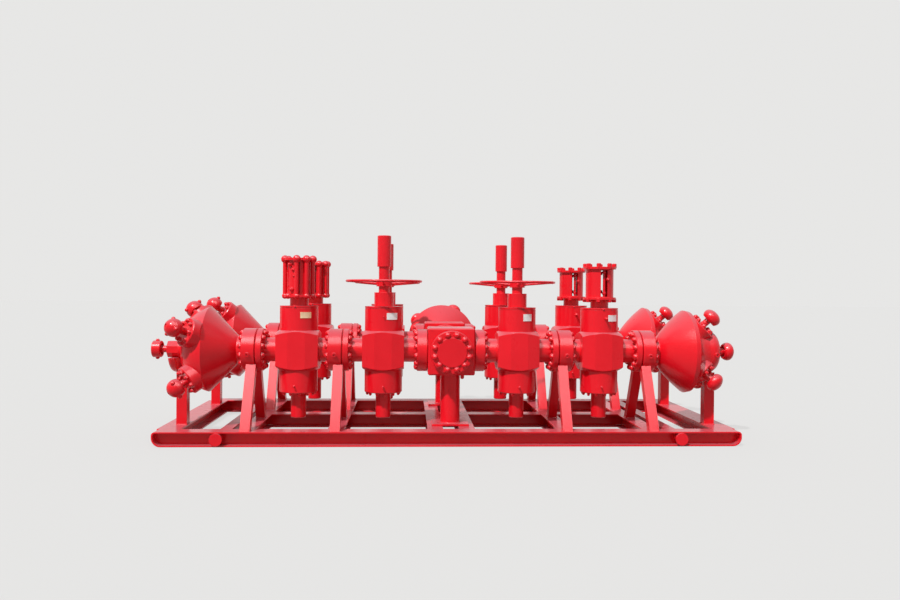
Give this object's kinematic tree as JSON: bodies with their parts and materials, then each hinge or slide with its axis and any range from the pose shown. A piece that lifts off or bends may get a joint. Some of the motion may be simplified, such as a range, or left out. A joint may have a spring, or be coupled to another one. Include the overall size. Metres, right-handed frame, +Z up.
{
  "type": "fracturing manifold",
  "caption": "Red skid-mounted fracturing manifold: flow lines of flanged gate valves, cross blocks and multi-port heads on an open steel beam base, with turning handwheels.",
  "frame": {"origin": "middle of the base underside, under the link between the two cross blocks", "axes": "+X along the flow lines to the right, +Y from the front line to the back line, +Z up"},
  "size_m": [5.832, 3.1303, 2.022],
  "materials": {
    "red_paint": "semi-gloss",
    "brass_plate": "satin",
    "steel_plate": "satin"
  },
  "bodies": {
    "manifold": {"front_rail": "red_paint", "back_rail": "red_paint", "centre_rail": "red_paint", "end_beams": "red_paint", "left_cross_beams": "red_paint", "middle_cross_beams": "red_paint", "right_cross_beams": "red_paint", "lifting_trunnions": "red_paint", "left_support_legs": "red_paint", "right_support_legs": "red_paint", "end_posts": "red_paint", "block_pedestals": "red_paint", "front_cross_block": "red_paint", "back_cross_block": "red_paint", "blind_flange": "red_paint", "link_spool": "red_paint", "front_left_outer_valve": "red_paint", "front_left_inner_valve": "red_paint", "front_right_inner_valve": "red_paint", "front_right_outer_valve": "red_paint", "back_left_outer_valve": "red_paint", "back_left_inner_valve": "red_paint", "back_right_inner_valve": "red_paint", "back_right_outer_valve": "red_paint", "upper_bonnets": "red_paint", "lower_bonnets": "red_paint", "stem_towers": "red_paint", "left_actuators": "red_paint", "right_actuators": "red_paint", "actuator_stems": "red_paint", "front_left_head": "red_paint", "front_right_head": "red_paint", "back_left_head": "red_paint", "back_right_head": "red_paint", "centre_head": "red_paint", "front_left_unions": "red_paint", "front_right_unions": "red_paint", "back_left_unions": "red_paint", "back_right_unions": "red_paint", "centre_unions": "red_paint"},
    "front_left_handwheel": {"front_left_handwheel": "red_paint"},
    "front_right_handwheel": {"front_right_handwheel": "red_paint"},
    "back_left_handwheel": {"back_left_handwheel": "red_paint"},
    "back_right_handwheel": {"back_right_handwheel": "red_paint"}
  },
  "joints": [
    {"name": "front_left_handwheel_turn", "type": "hinge", "parent": "manifold", "child": "front_left_handwheel", "pos_m": [-0.67, -0.69, 1.543], "axis": [0, 0, 1], "continuous": true},
    {"name": "front_right_handwheel_turn", "type": "hinge", "parent": "manifold", "child": "front_right_handwheel", "pos_m": [0.67, -0.69, 1.543], "axis": [0, 0, 1], "continuous": true},
    {"name": "back_left_handwheel_turn", "type": "hinge", "parent": "manifold", "child": "back_left_handwheel", "pos_m": [-0.67, 0.69, 1.543], "axis": [0, 0, 1], "continuous": true},
    {"name": "back_right_handwheel_turn", "type": "hinge", "parent": "manifold", "child": "back_right_handwheel", "pos_m": [0.67, 0.69, 1.543], "axis": [0, 0, 1], "continuous": true}
  ]
}
